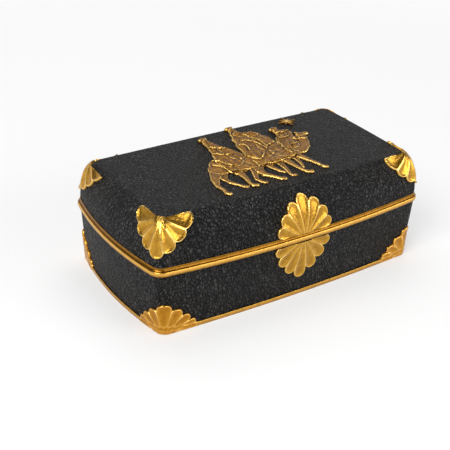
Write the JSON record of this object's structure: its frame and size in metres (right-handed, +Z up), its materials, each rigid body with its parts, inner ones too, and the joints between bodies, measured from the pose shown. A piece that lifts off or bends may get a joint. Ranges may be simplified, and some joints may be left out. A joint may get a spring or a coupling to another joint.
{
  "type": "music box",
  "caption": "Black leather music box with a swelling lid, gilt petal mounts, a gilt caravan relief on the lid and a comb movement under a clear cover inside.",
  "frame": {"origin": "middle of the underside of the case, midway between its ends and between its front and back leather", "axes": "+X to the right along the front, +Y towards the hinges at the back, +Z up"},
  "size_m": [0.2848, 0.1627, 0.1016],
  "materials": {
    "leather": "satin",
    "gilt": "polished",
    "wood": "matte",
    "velvet": "matte",
    "clear_acrylic": "clear",
    "movement_brass": "satin",
    "steel": "satin"
  },
  "bodies": {
    "case": {"case_walls": "wood", "case_leather": "leather", "foot_strip": "gilt", "case_mount_front_left": "gilt", "case_mount_front_right": "gilt", "case_mount_back_left": "gilt", "case_mount_back_right": "gilt", "case_palmette": "gilt", "bottom_board": "wood", "inner_floor": "wood", "floor_cleats": "wood", "cross_divider": "wood", "short_divider": "wood", "main_lining": "velvet", "side_lining": "velvet", "movement_cover": "clear_acrylic", "cover_ledges": "wood", "hinge_leaves_case": "movement_brass", "hinge_screws_case": "movement_brass", "hinge_pins": "movement_brass", "bedplate": "movement_brass", "movement_screws": "steel", "spring_housing": "movement_brass", "mainspring": "steel", "bearing_brackets": "movement_brass", "comb": "steel", "comb_screws": "steel", "plunger_guide": "movement_brass"},
    "lid": {"lid_shell": "wood", "lid_leather": "leather", "lid_rim": "gilt", "lid_mount_front_left": "gilt", "lid_mount_front_right": "gilt", "lid_mount_back_left": "gilt", "lid_mount_back_right": "gilt", "lid_palmette": "gilt", "lid_lining": "velvet", "hinge_leaves_lid": "movement_brass", "hinge_screws_lid": "movement_brass", "caravan_relief": "gilt", "star_relief": "gilt"},
    "key_train": {"great_wheel": "movement_brass", "winding_arbor": "steel", "winding_key": "steel"},
    "cylinder": {"cylinder": "movement_brass", "cylinder_gears": "movement_brass", "cylinder_arbor": "steel"},
    "governor": {"governor_gears": "movement_brass", "governor_arbor": "steel"},
    "fly": {"air_brake": "movement_brass"},
    "plunger": {"stop_plunger": "steel", "plunger_spring": "steel"}
  },
  "joints": [
    {"name": "lid_hinge", "type": "hinge", "parent": "case", "child": "lid", "pos_m": [0, 0.0816, 0.0548], "axis": [-1, 0, 0], "range_deg": [0, 98]},
    {"name": "cylinder_spin", "type": "hinge", "parent": "case", "child": "cylinder", "pos_m": [0.094, 0.03, 0.0371], "axis": [1, 0, 0], "continuous": true},
    {"name": "key_spin", "type": "hinge", "parent": "case", "child": "key_train", "pos_m": [0.069, 0.03, 0.02], "axis": [0, 0, 1], "continuous": true},
    {"name": "governor_spin", "type": "hinge", "parent": "case", "child": "governor", "pos_m": [0.1085, 0.039, 0.0371], "axis": [1, 0, 0], "continuous": true},
    {"name": "fly_spin", "type": "hinge", "parent": "case", "child": "fly", "pos_m": [0.1091, 0.0455, 0.0371], "axis": [0, 0, 1], "continuous": true},
    {"name": "plunger_slide", "type": "slide", "parent": "case", "child": "plunger", "axis": [0, 0, 1], "range_m": [0, 0.003], "deforming": ["plunger_spring"]}
  ],
  "couplings": [
    {"joint": "key_spin", "follows": "cylinder_spin", "ratio": 0.5},
    {"joint": "governor_spin", "follows": "cylinder_spin", "ratio": -2},
    {"joint": "fly_spin", "follows": "cylinder_spin", "ratio": 8},
    {"joint": "plunger_slide", "follows": "lid_hinge", "m_per_rad": 0.00175}
  ]
}
